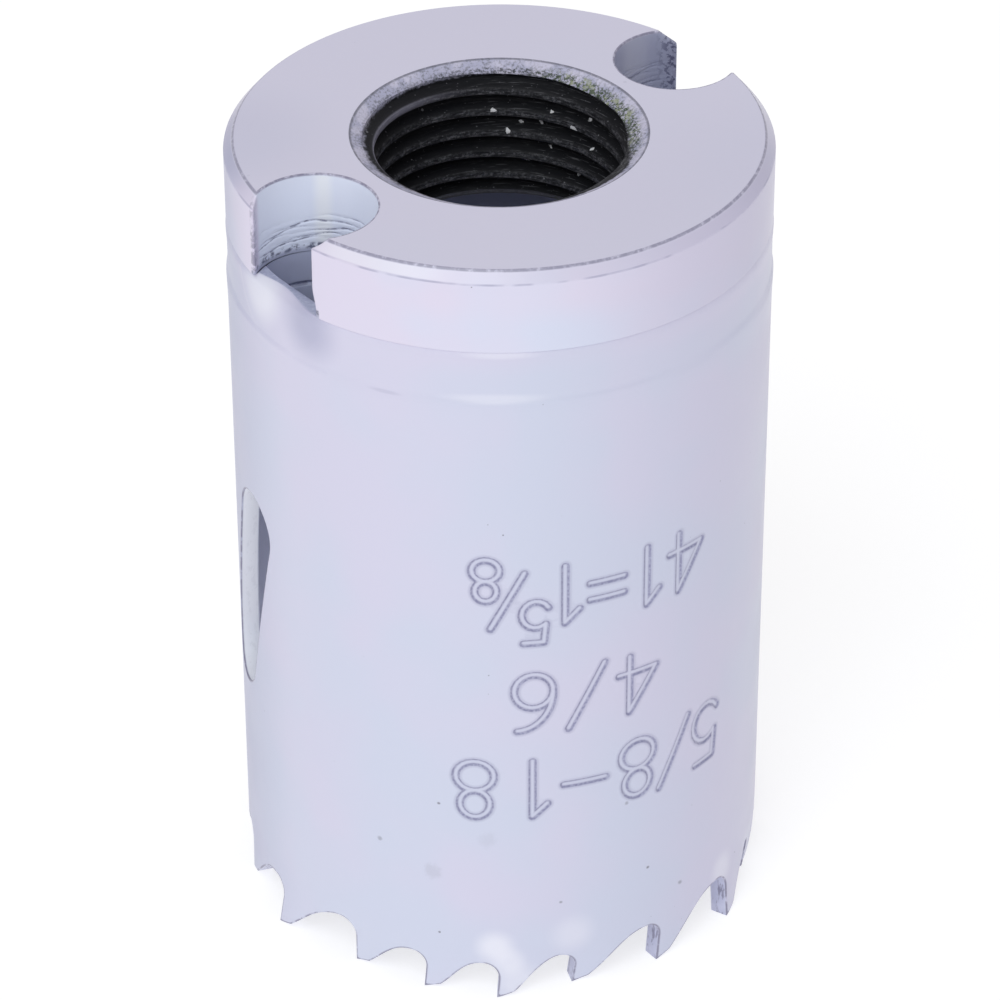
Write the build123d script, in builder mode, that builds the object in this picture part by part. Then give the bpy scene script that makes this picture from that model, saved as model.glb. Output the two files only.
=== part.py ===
from build123d import *
import os
from math import atan2, cos, degrees, hypot, pi, radians, sin, tan

# A 32 mm hole saw: a turned end cap, welded to a barrel rolled from bi-metal strip.
# Millimetres. Z is the axis and points out of the end cap, z = 0 is the plane of the
# tooth points, and X runs through the two drive holes. Angles are counter-clockwise
# from +X, seen from above the cap, and each tooth's face is on its clockwise side.

# Whole cutter
cutter_diameter = 32.0
overall_height = 51.2

# End cap: a flange of full diameter, and a spigot inside the barrel
flange_height = 5.1
spigot_height = 3.9
spigot_clearance = 0.03
rim_chamfer_width = 0.6
rim_chamfer_height = 0.7
thread_diameter = 15.875
countersink_diameter = 17.3
countersink_angle = 120.0
drive_hole_diameter = 7.2
drive_hole_inset = 2.6
drive_hole_count = 2

# Barrel, and the band where its top is welded to the cap
wall_thickness = 1.15
weld_band_height = 3.4
weld_band_depth = 0.05
seam_bevel = 0.12
dip_depth = 0.85
dip_radius = 17.0
dip_lag = 3.5

# Chip windows in the barrel
window_width = 4.5
window_length = 15.5
window_lean = 15.0
window_height = 22.65
window_angle = 159.2
window_count = 2

# Teeth: pitches along the strip, and sets (0 straight, 1 outward, -1 inward), repeat
pitch_cycle = (5.72, 6.12, 5.00, 4.52, 4.75)
set_cycle = (0, 1, -1)
tooth_set = 0.45
first_tooth_angle = 153.4
gullet_share = 0.53
gullet_radius = 1.0
seam_gullet_depth = 3.3
rake_angle = 5.0
land_length = 1.1
relief_angle = 18.0
back_angle = 42.0
tip_height = 1.2

# Sizes that follow
barrel_radius = cutter_diameter / 2
inner_radius = barrel_radius - wall_thickness
shoulder_height = overall_height - flange_height
cap_bottom = shoulder_height - spigot_height
band_bottom = shoulder_height - weld_band_height
drive_circle_radius = barrel_radius - drive_hole_inset
cut_margin = wall_thickness / 2


def tooth_points():
    """Angles of the tooth points. The last pitch is what is left at the strip's weld."""
    left = 2 * pi * barrel_radius
    angles = []
    angle = first_tooth_angle
    while left > min(pitch_cycle) / 2:
        angles.append(angle)
        pitch = pitch_cycle[(len(angles) - 1) % len(pitch_cycle)]
        angle += degrees(pitch / barrel_radius)
        left -= pitch
    return angles


point_angles = tooth_points()
tooth_count = len(point_angles)


def pitch_after(tooth):
    """Distance round the barrel from a tooth's point to the next one."""
    turn = point_angles[(tooth + 1) % tooth_count] - point_angles[tooth % tooth_count]
    return radians(turn % 360) * barrel_radius


def gullet_depth(tooth):
    """Depth of the gullet behind a tooth; the one at the strip's weld is set by itself."""
    if tooth % tooth_count == tooth_count - 1:
        return seam_gullet_depth
    return gullet_share * pitch_after(tooth)


def crown_offset(tooth):
    """Distance from a tooth's point to the top of the gullet behind it."""
    rake = radians(rake_angle)
    face_root = pitch_after(tooth) + tan(rake) * (gullet_depth(tooth) - gullet_radius)
    return face_root - gullet_radius / cos(rake)


def crown_angle(tooth):
    return point_angles[tooth % tooth_count] + degrees(crown_offset(tooth) / barrel_radius)


def radial_plane(angle):
    """Upright plane through the axis: X points outward and Y up."""
    turn = radians(angle)
    return Plane(origin=(0, 0, 0), x_dir=(cos(turn), sin(turn), 0), z_dir=(sin(turn), -cos(turn), 0))


def facing_plane(angle, radius):
    """Upright plane that faces outward at a radius: X runs round the barrel and Y up."""
    turn = radians(angle)
    outward = Vector(cos(turn), sin(turn), 0)
    return Plane(origin=outward * radius, x_dir=(-sin(turn), cos(turn), 0), z_dir=outward)


def strip_section(tooth, bottom, top):
    """Section of the strip at a tooth, leaning in or out below the tooth's bend."""
    bend = min(gullet_depth(tooth - 1), gullet_depth(tooth))
    lean = set_cycle[tooth % len(set_cycle)] * tooth_set / bend
    outside = [(barrel_radius + lean * (bend - bottom), bottom)]
    if bottom < bend < top:
        outside.append((barrel_radius, bend))
    outside.append((barrel_radius + lean * max(bend - top, 0), top))
    inside = [(across - wall_thickness, up) for across, up in reversed(outside)]
    with BuildSketch(radial_plane(crown_angle(tooth - 1))) as section:
        with BuildLine():
            Polyline(*outside, *inside, close=True)
        make_face()
    return section.sketch


def sector(tooth):
    """Turn from the gullet before a tooth to the gullet behind it."""
    return (crown_angle(tooth) - crown_angle(tooth - 1)) % 360


def gullet_face(tooth, radius):
    """Gap between a tooth's back and the next tooth's face, as it is at a radius."""
    pitch = pitch_after(tooth)
    depth = gullet_depth(tooth)
    crown = crown_offset(tooth)
    rake = radians(rake_angle)
    relief = radians(relief_angle)
    back = radians(back_angle)
    halfway = (pi / 2 - rake) / 2
    centre_height = depth - gullet_radius

    def at(along, up):
        return ((along - pitch / 2) * radius / barrel_radius, up)

    point = at(0, 0)
    land_end = at(land_length * cos(relief), land_length * sin(relief))
    crown_top = at(crown, depth)
    round_middle = at(crown + gullet_radius * cos(halfway), centre_height + gullet_radius * sin(halfway))
    round_end = at(crown + gullet_radius * cos(rake), centre_height - gullet_radius * sin(rake))
    next_point = at(pitch, 0)
    middle = point_angles[tooth % tooth_count] + degrees(pitch / 2 / barrel_radius)
    with BuildSketch(facing_plane(middle, radius)) as face:
        with BuildLine():
            Line(point, land_end)
            Spline(land_end, crown_top, tangents=((cos(back), sin(back)), (1, 0)))
            ThreePointArc(crown_top, round_middle, round_end)
            Polyline(round_end, next_point, at(pitch, -cut_margin), at(0, -cut_margin), point)
        make_face()
    return face.sketch


def gullet_faces(tooth):
    clear = tooth_set + cut_margin
    return [gullet_face(tooth, inner_radius - clear), gullet_face(tooth, barrel_radius + clear)]


def cut_tooth(tooth, bottom, top):
    """Length of strip with one tooth, rolled and set, between two heights."""
    with BuildPart() as strip:
        revolve(strip_section(tooth, bottom, top), axis=Axis.Z, revolution_arc=sector(tooth))
        for gullet in (tooth - 1, tooth):
            loft(gullet_faces(gullet), ruled=True, mode=Mode.SUBTRACT)
    return strip.part


def dip_plane(angle):
    """Plane across the foot of a dip, centred on the axis of the cylinder that forms it."""
    turn = radians(angle)
    slope = atan2(dip_depth, weld_band_height)
    centre = barrel_radius + dip_radius * cos(slope)
    height = band_bottom + dip_radius * sin(slope)
    return Plane(
        origin=(centre * cos(turn), centre * sin(turn), height),
        x_dir=(-sin(turn), cos(turn), 0),
        z_dir=(-sin(slope) * cos(turn), -sin(slope) * sin(turn), cos(slope)),
    )


# End cap, turned from bar, tapped for the arbor and drilled for its two drive pins
with BuildPart() as end_cap:
    with BuildSketch(Plane.XY.offset(cap_bottom)):
        Circle(inner_radius - spigot_clearance)
    extrude(amount=spigot_height)
    with BuildSketch(Plane.XY.offset(shoulder_height)):
        Circle(barrel_radius)
    extrude(amount=flange_height)
    rim = end_cap.faces().sort_by(Axis.Z)[-1].edges()[0]
    chamfer(rim, length=rim_chamfer_height, length2=rim_chamfer_width)
    with Locations((0, 0, overall_height)):
        CounterSinkHole(
            radius=thread_diameter / 2,
            counter_sink_radius=countersink_diameter / 2,
            counter_sink_angle=countersink_angle,
        )
    with BuildSketch(Plane.XY.offset(cap_bottom)):
        with PolarLocations(drive_circle_radius, drive_hole_count):
            Circle(drive_hole_diameter / 2)
    extrude(amount=spigot_height + flange_height, mode=Mode.SUBTRACT)

# Barrel, rolled from strip with its teeth down and welded to the cap
teeth_top = max(gullet_depth(tooth) for tooth in range(tooth_count)) + cut_margin
backings = [cut_tooth(tooth, tip_height, teeth_top) for tooth in range(tooth_count)]
with BuildPart() as barrel:
    with BuildSketch(Plane.XY.offset(teeth_top)):
        Circle(barrel_radius)
        Circle(inner_radius, mode=Mode.SUBTRACT)
    extrude(amount=shoulder_height - teeth_top)

    # The weld is dressed to a band that lies just below the barrel's surface
    with BuildSketch(Plane.XY.offset(band_bottom)):
        Circle(barrel_radius)
        Circle(barrel_radius - weld_band_depth, mode=Mode.SUBTRACT)
    extrude(amount=weld_band_height, mode=Mode.SUBTRACT)
    seam = barrel.faces().sort_by(Axis.Z)[-1].edges().sort_by(SortBy.RADIUS)[-1]
    chamfer(seam, length=seam_bevel)

    # Where a drive hole leaves the edge with no backing, the weld has drawn it inward
    for hole in range(drive_hole_count):
        with BuildSketch(dip_plane(hole * 360 / drive_hole_count - dip_lag)):
            Circle(dip_radius)
        extrude(amount=hypot(dip_depth, weld_band_height), mode=Mode.SUBTRACT)

    for window in range(window_count):
        turn = window_angle + window * 360 / window_count
        with BuildSketch(facing_plane(turn, inner_radius - cut_margin)):
            with Locations((0, window_height)):
                SlotOverall(window_length, window_width, rotation=90 - window_lean)
        extrude(amount=wall_thickness + 2 * cut_margin, mode=Mode.SUBTRACT)

    add(backings)

os.makedirs("parts", exist_ok=True)
for piece, name in ((end_cap, "end_cap"), (barrel, "barrel")):
    piece.part.label = name
    export_step(piece.part, f"parts/{name}.step")

# Tooth tips, one for each tooth: high-speed steel, welded to the strip before the teeth are cut
for tooth in range(tooth_count):
    with BuildPart() as tooth_tip:
        add(cut_tooth(tooth, 0, tip_height))
    tooth_tip.part.label = f"tooth_tip_{tooth + 1:02d}"
    export_step(tooth_tip.part, f"parts/{tooth_tip.part.label}.step")
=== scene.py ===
import bpy
import math
import numpy as np
from mathutils import Matrix, Vector, kdtree
from mathutils.geometry import delaunay_2d_cdt


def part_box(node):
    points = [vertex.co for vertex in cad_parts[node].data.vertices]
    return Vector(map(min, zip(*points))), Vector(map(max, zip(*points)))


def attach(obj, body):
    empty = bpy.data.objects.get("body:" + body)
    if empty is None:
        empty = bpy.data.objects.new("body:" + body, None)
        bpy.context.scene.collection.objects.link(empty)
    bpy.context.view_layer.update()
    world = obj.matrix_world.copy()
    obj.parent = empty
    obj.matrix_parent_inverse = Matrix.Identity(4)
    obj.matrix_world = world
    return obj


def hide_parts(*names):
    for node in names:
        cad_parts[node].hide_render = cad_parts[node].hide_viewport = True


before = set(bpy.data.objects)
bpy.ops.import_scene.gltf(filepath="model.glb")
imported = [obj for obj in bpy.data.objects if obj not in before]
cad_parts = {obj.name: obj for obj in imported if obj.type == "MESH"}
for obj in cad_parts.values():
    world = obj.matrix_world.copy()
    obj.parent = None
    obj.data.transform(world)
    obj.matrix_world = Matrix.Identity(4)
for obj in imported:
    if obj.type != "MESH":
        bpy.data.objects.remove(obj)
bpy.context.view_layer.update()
metre = 1000.0  # sizes below are in millimetres and degrees

saw = {
    "radius": 16.0,
    "wall": 1.15,
    "height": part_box("end_cap")[1].z * metre,
    "shoulder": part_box("barrel")[1].z * metre,  # where the barrel meets the cap's flange
    "capBottom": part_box("end_cap")[0].z * metre,
    "tipTop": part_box("tooth_tip_01")[1].z * metre,  # where the hard tips are welded on
}
around = 2 * math.pi * saw["radius"]


def smooth(value, low, high):
    t = np.clip((value - low) / (high - low), 0, 1)
    return t * t * (3 - 2 * t)


def ripple(along, seed, waves=7):
    # smooth uneven line, about -1 to 1, from a few seeded waves
    draw = np.random.default_rng(seed)
    total = np.zeros_like(along)
    for _ in range(waves):
        turn = draw.uniform(0, 2 * math.pi)
        pace = draw.uniform(0.6, 2.4)
        phase = draw.uniform(0, 2 * math.pi)
        total += np.sin(pace * (along * math.cos(turn)) + phase)
    return total / math.sqrt(waves) / 1.4


def weldPoints(points, faces, lap=None):
    # one index for points that coincide, also a whole lap apart, and no face left without area
    keys = points + 1.7e-5  # keeps round sizes off the rounding's own borders
    if lap:
        keys[:, 0] = (keys[:, 0] - lap[0] + 1e-3) % lap[1]
    keys = np.round(keys, 4) + 0.0
    _, first, index = np.unique(keys, axis=0, return_index=True, return_inverse=True)
    index = index.reshape(-1)
    kept = []
    flags = []
    for face, flag in faces:
        ring = []
        for corner in face:
            spot = int(index[corner])
            if spot not in ring:
                ring.append(spot)
        if len(ring) > 2:
            kept.append(ring)
            flags.append(flag)
    return first, kept, np.array(flags)


def addObject(name, data):
    made = bpy.data.objects.new(name, data)
    bpy.context.scene.collection.objects.link(made)
    return made


def makeObject(name, points, faces, marks, normals, useNormals, sharpAngle=38):
    # marks are numbers kept at each point for the paint; normals are used on the faces flagged in useNormals
    mesh = bpy.data.meshes.new(name)
    mesh.from_pydata((points / metre).tolist(), [], faces)
    mesh.polygons.foreach_set("use_smooth", np.ones(len(faces), bool))
    mesh.set_sharp_from_angle(angle=math.radians(sharpAngle))
    for key, values in marks.items():
        mesh.attributes.new(key, "FLOAT", "POINT").data.foreach_set("value", np.asarray(values, np.float32))
    corners = np.zeros(len(mesh.loops), np.int32)
    mesh.loops.foreach_get("vertex_index", corners)
    used = np.repeat(useNormals, [len(face) for face in faces])
    mesh.normals_split_custom_set(np.where(used[:, None], normals[corners], 0.0).tolist())
    return addObject(name, mesh)


def countOf(rows):
    return sum(len(row) for row in rows)


def rowsToFaces(rowStart, rowCount, pointCount, closed):
    # quads between rows of points that lie one after another
    faces = []
    for row in range(rowCount - 1):
        here = rowStart + row * pointCount
        for i in range(pointCount if closed else pointCount - 1):
            j = (i + 1) % pointCount
            faces.append(((here + i, here + j, here + pointCount + j, here + pointCount + i), 0))
    return faces


def insidePolygon(points, loop):
    inside = np.zeros(len(points), bool)
    x, y = points[:, 0], points[:, 1]
    for (x1, y1), (x2, y2) in zip(loop.tolist(), np.roll(loop, -1, 0).tolist()):
        if y1 == y2:
            continue
        crosses = (y1 > y) != (y2 > y)
        inside ^= crosses & (x < (x2 - x1) * (y - y1) / (y2 - y1) + x1)
    return inside


def triangulate(loops, spots, keep):
    # triangles of a flat region with the loops as edges; keep says which centres belong to it
    points = np.vstack(loops + [spots])
    edges = []
    start = 0
    for loop in loops:
        edges += [(start + i, start + (i + 1) % len(loop)) for i in range(len(loop))]
        start += len(loop)
    found = delaunay_2d_cdt([Vector(p) for p in points.tolist()], edges, [], 0, 1e-6)
    corners, triangles, sources = found[0], np.array(found[2]), found[3]
    flat = np.array([points[source[0]] if source else tuple(spot) for spot, source in zip(corners, sources)])
    return flat, triangles[keep(flat[triangles].mean(1))]


def gridSpots(left, right, bottom, top, step):
    # staggered rows, for even triangles
    rows = np.arange(bottom, top, step * 0.87)
    across = np.arange(left, right, step)
    x, y = np.meshgrid(across, rows)
    x = x + (np.arange(len(rows)) % 2)[:, None] * step / 2
    return np.column_stack([x.ravel(), y.ravel()])


def arcOf(radius, turns):
    return np.column_stack([radius * np.cos(turns), radius * np.sin(turns)])


def nearest(points, tree):
    return np.array([tree.find((x, y, 0))[2] for x, y in points.tolist()])


def treeOf(points):
    tree = kdtree.KDTree(len(points))
    for i, (x, y) in enumerate(points.tolist()):
        tree.insert((x, y, 0), i)
    tree.balance()
    return tree


teeth = {
    "pitches": (5.72, 6.12, 5.00, 4.52, 4.75),
    "sets": (0, 1, -1),  # straight, out, in
    "set": 0.45,
    "firstPoint": 153.4,
    "gulletShare": 0.53,
    "gulletRadius": 1.0,
    "seamDepth": 3.3,
    "rake": math.radians(5),
    "land": 1.1,
    "relief": math.radians(18),
    "back": math.radians(42),
    "bendRise": 1.5,  # a set tooth starts to lean this far above its gullet
    "bendSoft": 1.2,
    "backSet": 0.3,  # share of the set that is left at the tooth's back
    "backFade": (0.2, 2.9),
    "frontFade": (-2.3, -0.7),
    "nextFade": (-1.9, -0.9),  # the same, before the next tooth's point
    "step": 0.14,  # spacing of points along an edge, and along the tip's weld
    "jointStep": 0.22,
    "seamNear": math.radians(90),  # the flat layout is cut at the gullet nearest to here
}


def layOutTeeth():
    places, left, at = [], around, math.radians(teeth["firstPoint"]) * saw["radius"]
    while left > min(teeth["pitches"]) / 2:
        places.append(at)
        step = teeth["pitches"][(len(places) - 1) % len(teeth["pitches"])]
        at += step
        left -= step
    return places


toothPlaces = layOutTeeth()
toothCount = len(toothPlaces)


def pointAt(tooth):
    lap, index = divmod(tooth, toothCount)
    return toothPlaces[index] + lap * around


def depthAfter(tooth):
    if tooth % toothCount == toothCount - 1:
        return teeth["seamDepth"]
    return teeth["gulletShare"] * (pointAt(tooth + 1) - pointAt(tooth))


def crownAfter(tooth):
    rake, radius = teeth["rake"], teeth["gulletRadius"]
    root = pointAt(tooth + 1) + math.tan(rake) * (depthAfter(tooth) - radius)
    return np.array([root - radius / math.cos(rake), depthAfter(tooth)])


def seamGap(tooth):
    return abs(crownAfter(tooth)[0] / saw["radius"] - teeth["seamNear"])


seamTooth = min(range(-toothCount, toothCount), key=seamGap)
firstTooth = seamTooth + 1
stripLeft = crownAfter(seamTooth)[0]
stripRight = stripLeft + around


def stripPlace(angle):
    # u of an angle in degrees, within the flat layout
    return stripLeft + (math.radians(angle) * saw["radius"] - stripLeft) % around


def divide(start, end, step):
    count = max(2, math.ceil(np.hypot(*(np.array(end) - start)) / step) + 1)
    return start + np.linspace(0, 1, count)[:, None] * (np.array(end) - start)


def faceOf(tooth):
    # from the crown before a tooth round the gullet and down its face
    rake, radius, step = teeth["rake"], teeth["gulletRadius"], teeth["step"]
    crown = crownAfter(tooth - 1)
    turns = np.linspace(math.pi / 2, -rake, math.ceil((math.pi / 2 + rake) * radius / step) + 1)
    bend = np.column_stack([crown[0] + radius * np.cos(turns), crown[1] - radius + radius * np.sin(turns)])
    return bend, divide(bend[-1], (pointAt(tooth), 0.0), step)[1:]


def backOf(tooth):
    # from a tooth's point along its land and up its back to the next crown
    relief, back, step = teeth["relief"], teeth["back"], teeth["step"]
    point = np.array([pointAt(tooth), 0.0])
    landEnd = point + teeth["land"] * np.array([math.cos(relief), math.sin(relief)])
    crown = crownAfter(tooth)
    length = np.hypot(*(crown - landEnd))
    t = np.linspace(0, 1, math.ceil(length / step) + 1)[:, None]
    leaving = np.array([math.cos(back), math.sin(back)]) * length
    arriving = np.array([1.0, 0.0]) * length
    curve = (2 * t**3 - 3 * t**2 + 1) * landEnd + (t**3 - 2 * t**2 + t) * leaving
    curve += (3 * t**2 - 2 * t**3) * crown + (t**3 - t**2) * arriving
    return divide(point, landEnd, step), curve[1:]


def splitAt(line, height):
    # cut a line of points in two where it passes a height
    above = line[:, 1] > height
    i = int(np.flatnonzero(above[1:] != above[:-1])[0])
    share = (height - line[i, 1]) / (line[i + 1, 1] - line[i, 1])
    cross = line[i] + share * (line[i + 1] - line[i])
    return np.vstack([line[: i + 1], cross]), np.vstack([cross, line[i + 1 :]])


def toothOutline(tooth):
    # the parts of a tooth's edge above and below the line where its tip is welded on
    faceHigh, faceLow = splitAt(np.vstack(faceOf(tooth)), saw["tipTop"])
    backLow, backHigh = splitAt(np.vstack(backOf(tooth)), saw["tipTop"])
    joint = divide(faceHigh[-1], backHigh[0], teeth["jointStep"])
    return faceHigh, joint, backHigh, faceLow, backLow


def chainOf(parts):
    # one line of points, and for each stretch whether it is a cut edge
    points, cut = [parts[0][0][0]], []
    for line, isCut in parts:
        points.extend(line[1:])
        cut.extend([isCut] * (len(line) - 1))
    return np.array(points), np.array(cut)


def inset(points, amounts, closed):
    # move each stretch to its left by its own amount
    following = np.roll(points, -1, 0) - points
    if not closed:
        following = following[:-1]
    along = following / np.hypot(following[:, 0], following[:, 1])[:, None]
    side = np.column_stack([-along[:, 1], along[:, 0]])
    if closed:
        before, after = np.roll(side, 1, 0), side
        beforeBy, afterBy = np.roll(amounts, 1), amounts
    else:
        before, after = np.vstack([side[:1], side]), np.vstack([side, side[-1:]])
        beforeBy, afterBy = np.append(amounts[0], amounts), np.append(amounts, amounts[-1])
    turn = before[:, 0] * after[:, 1] - before[:, 1] * after[:, 0]
    corner = np.abs(turn) > 0.08
    safe = np.where(corner, turn, 1.0)
    mitre = np.column_stack([
        (beforeBy * after[:, 1] - afterBy * before[:, 1]) / safe,
        (before[:, 0] * afterBy - after[:, 0] * beforeBy) / safe,
    ])
    mean = (before * beforeBy[:, None] + after * afterBy[:, None]) / 2
    return points + np.where(corner[:, None], mitre, mean)


band = {
    "bottom": 42.75,
    "depth": 0.06,
    "soft": 0.42,
    "uneven": 0.12,
    "wavy": 0.35,  # how quickly the band's edge wanders along the barrel
    "seed": 5,
    "swell": 0.045,  # low swelling of the barrel under the band's edge, and of the band under the flange
    "swellWide": 1.1,
    "topDrop": 0.1,  # how far the band falls in at the flange
    "topSoft": 0.4,
}
dip = {
    "angles": (-3.5, 176.5),
    "left": 3.7,  # half widths along the barrel
    "right": 4.3,
    "foot": 42.6,
    "hollow": 0.30,  # how deep the dip's slope goes, before its lip
    "roll": 0.62,  # and how much deeper the lip rolls over
    "rollHeight": 1.5,
    "rim": 0.03,  # slight rise round the dip, and its width as a share of the dip
    "rimWide": 0.07,
    "push": 0.42,  # how far the inside is pushed into the drive hole
    "pushWide": 3.2,
    "pushFoot": 43.3,
    "lip": 0.3,  # how far the inner edge falls
}
window = {"angles": (159.2, 339.2), "width": 4.5, "length": 15.5, "lean": math.radians(15), "height": 22.65}
stamp = {
    "depth": 0.085,
    "stroke": 0.44,
    "slope": 0.16,  # width of a groove's side
    "burr": 0.012,  # metal raised beside a groove: height, place and half width
    "burrPlace": 0.09,
    "burrWide": 0.06,
    "zeroAngle": 231.0,  # places of the figures are counted from here, along the barrel
    "figures": (  # figure, place along, lowest edge, height
        ("4", 11.9, 27.3, 4.0), ("1", 9.1, 27.3, 4.0), ("=", 6.4, 27.5, 3.6), ("1", 3.9, 27.4, 4.0),
        ("5", 2.0, 26.2, 2.9), ("/", 0.45, 27.4, 3.6), ("8", -0.9, 29.2, 2.9),
        ("4", 8.5, 19.9, 4.0), ("/", 5.2, 19.9, 4.0), ("6", 1.9, 19.9, 4.0),
        ("5", 14.0, 13.5, 4.1), ("/", 11.3, 13.5, 4.1), ("8", 8.5, 13.5, 4.1),
        ("-", 5.2, 13.5, 4.1), ("1", 2.0, 13.5, 4.1), ("8", -1.6, 13.5, 4.1),
    ),
}


def sweepOf(cx, cy, rx, ry, start, end, count=14):
    turns = np.radians(np.linspace(start, end, count))
    return [(cx + rx * math.cos(t), cy + ry * math.sin(t)) for t in turns]


figureLines = {  # single strokes in a box one high, about 0.6 wide
    "1": [[(0.34, 0), (0.34, 1), (0.12, 0.78)]],
    "4": [[(0.46, 0), (0.46, 1), (0.0, 0.3), (0.64, 0.3)]],
    "5": [[(0.54, 1), (0.13, 1), (0.09, 0.55)] + sweepOf(0.29, 0.32, 0.29, 0.32, 125, -150)],
    "6": [sweepOf(0.56, 0.33, 0.55, 0.68, 92, 180), sweepOf(0.3, 0.3, 0.29, 0.3, 0, 360, 22)],
    "8": [sweepOf(0.3, 0.76, 0.22, 0.24, 0, 360, 20), sweepOf(0.3, 0.26, 0.28, 0.26, 0, 360, 22)],
    "/": [[(0.05, -0.04), (0.6, 1.04)]],
    "-": [[(0.02, 0.48), (0.66, 0.48)]],
    "=": [[(0.02, 0.66), (0.62, 0.66)], [(0.02, 0.34), (0.62, 0.34)]],
}


def figureStrokes():
    # every stroke as start and end on the flat strip; the figures stand on their heads
    strokes = []
    zero = stripPlace(stamp["zeroAngle"])
    for figure, along, low, tall in stamp["figures"]:
        for line in figureLines[figure]:
            spots = [(zero + along - (x - 0.3) * tall, low + (1 - y) * tall) for x, y in line]
            strokes += [(*a, *b) for a, b in zip(spots, spots[1:])]
    return np.array(strokes)


strokes = figureStrokes()
strokeEnds = strokes.reshape(-1, 2)
stampLow, stampHigh = strokeEnds.min(0) - 1, strokeEnds.max(0) + 1
stampArea = (stampLow[0], stampHigh[0], stampLow[1], stampHigh[1])


def strokeDistance(u, v):
    # distance outside the stamped strokes, negative within them, and 1 away from them all
    result = np.ones(len(u))
    left, right, low, high = stampArea
    near = np.flatnonzero((u > left) & (u < right) & (v > low) & (v < high))
    if len(near):
        x, y = u[near][:, None], v[near][:, None]
        dx, dy = strokes[:, 2] - strokes[:, 0], strokes[:, 3] - strokes[:, 1]
        t = np.clip(((x - strokes[:, 0]) * dx + (y - strokes[:, 1]) * dy) / (dx**2 + dy**2), 0, 1)
        gap = np.hypot(x - strokes[:, 0] - t * dx, y - strokes[:, 1] - t * dy).min(1)
        result[near] = np.minimum(gap - stamp["stroke"] / 2, 1.0)
    return result


def setShift(u, v):
    # how far each place on the strip leans out with its tooth
    shift = np.zeros_like(u)
    for tooth in range(firstTooth, firstTooth + toothCount):
        side = teeth["sets"][tooth % toothCount % len(teeth["sets"])]
        if side == 0:
            continue
        for lap in (-around, 0, around):
            along = u - pointAt(tooth) - lap
            reach = pointAt(tooth + 1) - pointAt(tooth)
            near = np.flatnonzero((along > -4) & (along < reach) & (v < 8))
            if not len(near):
                continue
            x, y = along[near], v[near]
            top = depthAfter(tooth - 1) + teeth["bendRise"]
            soft = teeth["bendSoft"]
            below = np.clip(top - y, 0, None)
            lean = np.where(below < soft, below**2 / (2 * soft), below - soft / 2) / (top - soft / 2)
            keep = smooth(x, *teeth["frontFade"])
            keep *= 1 - (1 - teeth["backSet"]) * smooth(x, *teeth["backFade"])
            keep *= 1 - smooth(x - reach, *teeth["nextFade"])
            shift[near] += side * teeth["set"] * lean * keep
    return shift


def awayFrom(u, angle):
    # distance along the strip from an angle
    return (u - stripPlace(angle) + around / 2) % around - around / 2


def lipPush(u, v):
    # share of the push at a dip's inside, behind each drive hole
    share = np.zeros_like(u)
    for angle in (0, 180):
        x = np.clip(awayFrom(u, angle) / dip["pushWide"], -1, 1)
        share += np.cos(x * math.pi / 2) ** 2 * smooth(v, dip["pushFoot"], saw["shoulder"])
    return share


def skinShift(u, v):
    # what happens to the outside alone
    edge = ripple(u * band["wavy"], band["seed"]) * band["uneven"]
    low = band["bottom"] + edge
    high = saw["shoulder"] - band["topSoft"]
    shift = -(band["depth"] + band["swell"]) * smooth(v, low - band["soft"] / 2, low + band["soft"] / 2)
    shift += band["swell"] * smooth(v, low - 2 * band["swellWide"], low - band["soft"] / 2)
    shift += band["swell"] * smooth(v, high - band["swellWide"], high)
    shift -= band["topDrop"] * smooth(v, high, saw["shoulder"] + 0.05)
    tall = saw["shoulder"] - dip["foot"]
    for angle in dip["angles"]:
        x = awayFrom(u, angle)
        x = x / np.where(x < 0, dip["left"], dip["right"])
        deep = np.cos(np.clip(x, -1, 1) * math.pi / 2) ** 2
        t = np.clip((v - dip["foot"]) / tall, 0, 1)
        r = np.clip((v - saw["shoulder"]) / dip["rollHeight"] + 1, 0, 1)
        shift -= deep * (dip["hollow"] * t**1.5 + dip["roll"] * (1 - np.sqrt(1 - (0.985 * r) ** 2)))
        ring = np.hypot(np.clip(x, -1.5, 1.5), (v - saw["shoulder"]) / tall)
        shift += dip["rim"] * np.exp(-(((ring - 1) / dip["rimWide"]) ** 2))
    gap = strokeDistance(u, v)
    shift -= stamp["depth"] * (1 - smooth(gap, -stamp["slope"] * 0.75, stamp["slope"] * 0.25))
    shift += stamp["burr"] * np.exp(-(((gap - stamp["burrPlace"]) / stamp["burrWide"]) ** 2))
    return shift


def rollUp(strip):
    # from (u, v, depth under the outside) to the saw's own frame
    u, v, depth = strip.T
    fade = np.clip(1 - depth / saw["wall"], 0, 1)
    push = lipPush(u, v)
    radius = saw["radius"] - depth + setShift(u, v) + skinShift(u, v) * fade - dip["push"] * push * (1 - fade)
    angle = u / saw["radius"]
    sag = dip["lip"] * push * (1 - fade) ** 1.6
    return np.column_stack([radius * np.cos(angle), radius * np.sin(angle), v - sag])


def skinNormals(strip, step=0.012):
    # true normals of the rolled strip, outward
    along, up = np.array([step, 0, 0]), np.array([0, step, 0])
    a = rollUp(strip + along) - rollUp(strip - along)
    b = rollUp(strip + up) - rollUp(strip - up)
    normal = np.cross(a, b)
    return normal / np.linalg.norm(normal, axis=1)[:, None]


cut = {
    "round": 0.06,
    "topRound": 0.04,
    "windowRound": 0.09,
    "topShares": (0.15, 0.3, 0.45, 0.6, 0.75, 0.88),  # rows of points across the wall's top
}


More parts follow.
